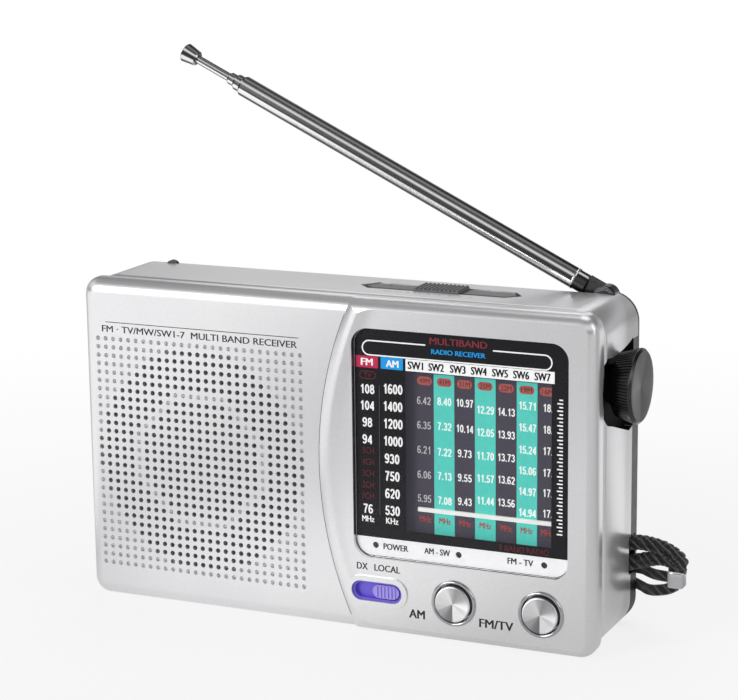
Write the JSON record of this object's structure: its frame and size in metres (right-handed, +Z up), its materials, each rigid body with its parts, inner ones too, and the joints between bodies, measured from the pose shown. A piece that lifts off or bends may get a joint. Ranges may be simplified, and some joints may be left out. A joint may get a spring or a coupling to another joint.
{
  "type": "shortwave receiver",
  "caption": "Pocket multiband radio receiver with grille, dial window, side tuning knob, top band slider, telescopic antenna and wrist strap.",
  "frame": {"origin": "centre of the bottom face the receiver stands on", "axes": "+Z up, +X to the right seen from the front, -Y out of the front face"},
  "size_m": [0.1404, 0.0356, 0.1282],
  "materials": {
    "am_button": "spun",
    "am_button_ring": "bright",
    "antenna_bracket": "blackened",
    "antenna_clip": "moulded",
    "antenna_lug": "bright",
    "antenna_pivot_pin": "bright",
    "antenna_rod": "bright",
    "antenna_tip": "bright",
    "antenna_tube_1": "bright",
    "antenna_tube_2": "bright",
    "antenna_tube_3": "bright",
    "back_cover": "satin black moulded plastic",
    "band_slider": "silver grey, ribbed",
    "band_slot_plate": "silver grey",
    "band_switch_body": "moulded",
    "battery_contacts": "nickel plated",
    "battery_door": "satin black moulded plastic",
    "capacitor_gear": "moulded",
    "case_screws": "blackened",
    "cell_1": "printed sleeve",
    "cell_2": "printed sleeve",
    "cord_drum": "moulded",
    "cord_idler": "moulded",
    "dc_jack": "moulded",
    "dial_cord": "waxed cord",
    "dial_lens": "clear window, polished",
    "dial_pointer": "white",
    "dx_slider": "lavender, ribbed",
    "dx_switch_bezel": "purple",
    "dx_switch_body": "pressed steel",
    "earphone_jack": "moulded",
    "electrolytics": "sleeved",
    "ferrite_coil": "enamelled wire",
    "ferrite_holder": "moulded",
    "ferrite_rod": "ferrite",
    "fm_button": "spun",
    "fm_button_ring": "bright",
    "front_cabinet": "satin silver paint on moulded plastic",
    "if_transformers": "can",
    "indicator_lamps": "tinted lens",
    "main_pcb": "phenolic board",
    "pointer_guide_rod": "ground",
    "push_switches": "moulded",
    "rear_cabinet": "satin silver paint on moulded plastic",
    "receiver_ic": "moulded",
    "scale_plate": "printed plate",
    "shaft_bush": "turned",
    "speaker_clamps": "pressed",
    "speaker_cone": "pressed paper",
    "speaker_frame": "zinc plated",
    "speaker_magnet": "ferrite",
    "strap_cord": "braided",
    "strap_crimp": "plated",
    "strap_webbing": "woven",
    "tuning_bracket": "pressed steel",
    "tuning_capacitor": "moulded",
    "tuning_knob": "ribbed black, spun face",
    "tuning_shaft": "turned",
    "volume_pot": "moulded",
    "volume_wheel": "ribbed"
  },
  "bodies": {
    "case": {"am_button_ring": "am_button_ring", "antenna_bracket": "antenna_bracket", "antenna_clip": "antenna_clip", "antenna_pivot_pin": "antenna_pivot_pin", "back_cover": "back_cover", "band_slot_plate": "band_slot_plate", "band_switch_body": "band_switch_body", "battery_contacts": "battery_contacts", "case_screws": "case_screws", "dc_jack": "dc_jack", "dial_cord": "dial_cord", "dial_lens": "dial_lens", "dx_switch_bezel": "dx_switch_bezel", "dx_switch_body": "dx_switch_body", "earphone_jack": "earphone_jack", "electrolytics": "electrolytics", "ferrite_coil": "ferrite_coil", "ferrite_holder": "ferrite_holder", "ferrite_rod": "ferrite_rod", "fm_button_ring": "fm_button_ring", "front_cabinet": "front_cabinet", "if_transformers": "if_transformers", "indicator_lamps": "indicator_lamps", "main_pcb": "main_pcb", "pointer_guide_rod": "pointer_guide_rod", "push_switches": "push_switches", "rear_cabinet": "rear_cabinet", "receiver_ic": "receiver_ic", "scale_plate": "scale_plate", "shaft_bush": "shaft_bush", "speaker_clamps": "speaker_clamps", "speaker_cone": "speaker_cone", "speaker_frame": "speaker_frame", "speaker_magnet": "speaker_magnet", "strap_cord": "strap_cord", "strap_crimp": "strap_crimp", "strap_webbing": "strap_webbing", "tuning_bracket": "tuning_bracket", "tuning_capacitor": "tuning_capacitor", "volume_pot": "volume_pot"},
    "tuning_spindle": {"tuning_knob": "tuning_knob", "tuning_shaft": "tuning_shaft", "cord_drum": "cord_drum"},
    "cord_pulley": {"cord_idler": "cord_idler"},
    "capacitor_rotor": {"capacitor_gear": "capacitor_gear"},
    "pointer": {"dial_pointer": "dial_pointer"},
    "band_selector": {"band_slider": "band_slider"},
    "dx_local_switch": {"dx_slider": "dx_slider"},
    "am_push": {"am_button": "am_button"},
    "fm_push": {"fm_button": "fm_button"},
    "volume_control": {"volume_wheel": "volume_wheel"},
    "antenna_base": {"antenna_lug": "antenna_lug", "antenna_tube_1": "antenna_tube_1"},
    "antenna_section_2": {"antenna_tube_2": "antenna_tube_2"},
    "antenna_section_3": {"antenna_tube_3": "antenna_tube_3"},
    "antenna_section_4": {"antenna_rod": "antenna_rod", "antenna_tip": "antenna_tip"},
    "battery_cover": {"battery_door": "battery_door"},
    "cell_lower": {"cell_1": "cell_1"},
    "cell_upper": {"cell_2": "cell_2"}
  },
  "joints": [
    {"name": "tuning_knob_turn", "type": "hinge", "parent": "case", "child": "tuning_spindle", "pos_m": [0.06, -0.0013, 0.0589], "axis": [1, 0, 0], "range_deg": [-500, 30]},
    {"name": "cord_pulley_turn", "type": "hinge", "parent": "case", "child": "cord_pulley", "pos_m": [0.056, -0.0013, 0.014], "axis": [1, 0, 0], "range_deg": [-501, 31]},
    {"name": "capacitor_turn", "type": "hinge", "parent": "case", "child": "capacitor_rotor", "pos_m": [0.05, -0.0013, 0.0469], "axis": [1, 0, 0], "range_deg": [-11, 167.67]},
    {"name": "pointer_travel", "type": "slide", "parent": "case", "child": "pointer", "axis": [0, 0, 1], "range_m": [-0.0016, 0.0268]},
    {"name": "band_select", "type": "slide", "parent": "case", "child": "band_selector", "axis": [1, 0, 0], "range_m": [-0.0105, 0.009]},
    {"name": "dx_local_select", "type": "slide", "parent": "case", "child": "dx_local_switch", "axis": [1, 0, 0], "range_m": [-0.0042, 0]},
    {"name": "am_press", "type": "slide", "parent": "case", "child": "am_push", "axis": [0, 1, 0], "range_m": [0, 0.0015], "stiffness_N_per_m": 400},
    {"name": "fm_press", "type": "slide", "parent": "case", "child": "fm_push", "axis": [0, 1, 0], "range_m": [0, 0.0015], "stiffness_N_per_m": 400},
    {"name": "volume_turn", "type": "hinge", "parent": "case", "child": "volume_control", "pos_m": [-0.056, 0.0075, 0.055], "axis": [0, 1, 0], "range_deg": [-150, 150]},
    {"name": "antenna_swing", "type": "hinge", "parent": "case", "child": "antenna_base", "pos_m": [0.0557, 0.0122, 0.0753], "axis": [0, 1, 0], "range_deg": [-26.08, 83.9]},
    {"name": "antenna_slide_2", "type": "slide", "parent": "antenna_base", "child": "antenna_section_2", "axis": [-0.8982, 0, 0.4396], "range_m": [0, 0.074]},
    {"name": "antenna_slide_3", "type": "slide", "parent": "antenna_section_2", "child": "antenna_section_3", "axis": [-0.8982, 0, 0.4396], "range_m": [0, 0.072]},
    {"name": "antenna_slide_4", "type": "slide", "parent": "antenna_section_3", "child": "antenna_section_4", "axis": [-0.8982, 0, 0.4396], "range_m": [-0.0083, 0.07]},
    {"name": "battery_door_lift", "type": "slide", "parent": "case", "child": "battery_cover", "axis": [0, 1, 0], "range_m": [0, 0.036]},
    {"name": "cell_lower_lift", "type": "slide", "parent": "case", "child": "cell_lower", "axis": [0, 1, 0], "range_m": [0, 0.018]},
    {"name": "cell_upper_lift", "type": "slide", "parent": "case", "child": "cell_upper", "axis": [0, 1, 0], "range_m": [0, 0.018]}
  ],
  "couplings": [
    {"joint": "tuning_knob_turn", "follows": "pointer_travel", "rad_per_m": -324.68},
    {"joint": "cord_pulley_turn", "follows": "pointer_travel", "rad_per_m": -324.68},
    {"joint": "capacitor_turn", "follows": "pointer_travel", "rad_per_m": 108.23},
    {"joint": "cell_lower_lift", "follows": "battery_door_lift", "ratio": 0.5},
    {"joint": "cell_upper_lift", "follows": "battery_door_lift", "ratio": 0.5}
  ]
}
